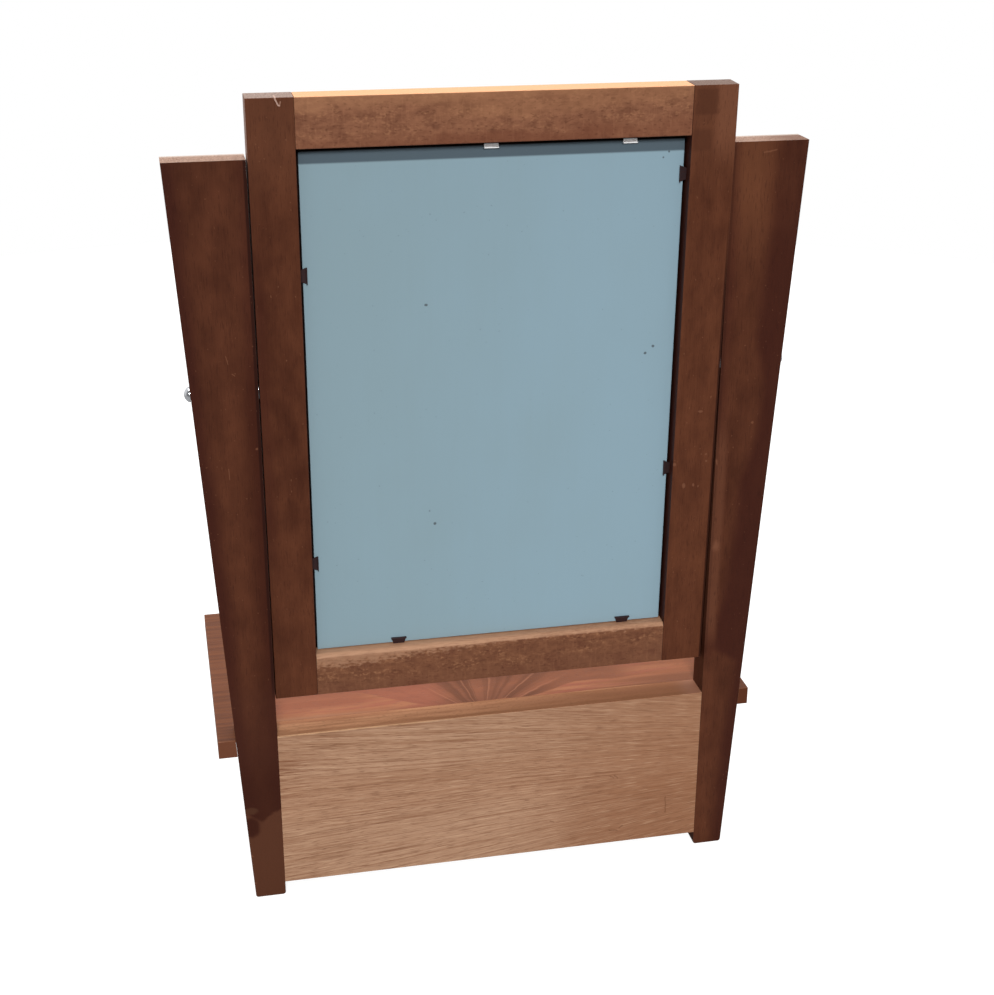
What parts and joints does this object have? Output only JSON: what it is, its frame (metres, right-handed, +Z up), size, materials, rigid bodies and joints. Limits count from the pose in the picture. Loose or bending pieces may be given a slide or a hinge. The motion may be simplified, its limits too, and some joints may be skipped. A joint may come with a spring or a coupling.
{
  "type": "tabletop dressing mirror",
  "caption": "Framed swing mirror held between tapered uprights on a low box base with a drawer, to stand on a dressing table.",
  "frame": {"origin": "on the floor plane, under the centre of the box that encloses the whole object with the mirror at its small backward lean and the drawer shut", "axes": "+Z up, -Y towards the sitter (mirror glass and drawer front), +Y towards the back, +X towards the sitter's right"},
  "size_m": [0.537, 0.2738, 0.7432],
  "materials": {
    "dark_stained_wood": "dark walnut stain under a thin satin varnish, worn at the arrises",
    "rail_wood": "mid brown varnish over a mottled, interlocked grain",
    "figured_top": "reddish brown with a crotch figure, satin varnish",
    "back_board_wood": "pale brown, open straight grain, thin varnish",
    "box_wood": "reddish brown satin varnish",
    "inner_wood": "unfinished pale softwood, dry and slightly rough",
    "backing_paint": "hardboard with matt pale blue-grey paint, a few specks",
    "mirror": "silvered glass",
    "chrome": "polished chrome plate, lightly worn",
    "brass": "dull brass",
    "dark_steel": "rust-brown steel",
    "bright_steel": "bright zinc-plated steel"
  },
  "bodies": {
    "stand": {"right_upright": "dark_stained_wood", "left_upright": "dark_stained_wood", "top_board": "figured_top", "back_board": "back_board_wood", "right_side": "box_wood", "left_side": "box_wood", "bottom_board": "inner_wood", "front_rail": "box_wood", "right_cleat": "inner_wood", "left_cleat": "inner_wood", "drawer_stops": "inner_wood", "right_front_foot": "dark_stained_wood", "left_front_foot": "dark_stained_wood", "side_dowels": "inner_wood", "back_dowels": "inner_wood", "cleat_screws": "brass", "foot_screws": "brass", "right_pivot_sleeve": "brass", "left_pivot_sleeve": "brass", "right_pivot_washer": "chrome", "left_pivot_washer": "chrome"},
    "mirror": {"right_stile": "dark_stained_wood", "left_stile": "dark_stained_wood", "top_rail": "rail_wood", "bottom_rail": "rail_wood", "mirror_glass": "mirror", "backing_board": "backing_paint", "glazing_points": "dark_steel", "top_glazing_points": "bright_steel", "right_insert": "brass", "left_insert": "brass"},
    "right_knob": {"right_pivot_knob": "chrome"},
    "left_knob": {"left_pivot_knob": "chrome"},
    "drawer": {"drawer_front": "box_wood", "drawer_right_side": "inner_wood", "drawer_left_side": "inner_wood", "drawer_back": "inner_wood", "drawer_bottom": "inner_wood", "right_drawer_knob": "dark_stained_wood", "left_drawer_knob": "dark_stained_wood", "drawer_knob_screws": "brass"}
  },
  "joints": [
    {"name": "mirror_tilt", "type": "hinge", "parent": "stand", "child": "mirror", "pos_m": [0, 0.11885, 0.4995], "axis": [1, 0, 0], "continuous": true},
    {"name": "right_knob_turn", "type": "hinge", "parent": "mirror", "child": "right_knob", "pos_m": [0.2575, 0.11885, 0.4995], "axis": [1, 0, 0], "range_deg": [0, 360]},
    {"name": "left_knob_turn", "type": "hinge", "parent": "mirror", "child": "left_knob", "pos_m": [-0.2575, 0.11885, 0.4995], "axis": [-1, 0, 0], "range_deg": [0, 360]},
    {"name": "drawer_slide", "type": "slide", "parent": "stand", "child": "drawer", "axis": [0, -1, 0], "range_m": [0, 0.16]}
  ]
}
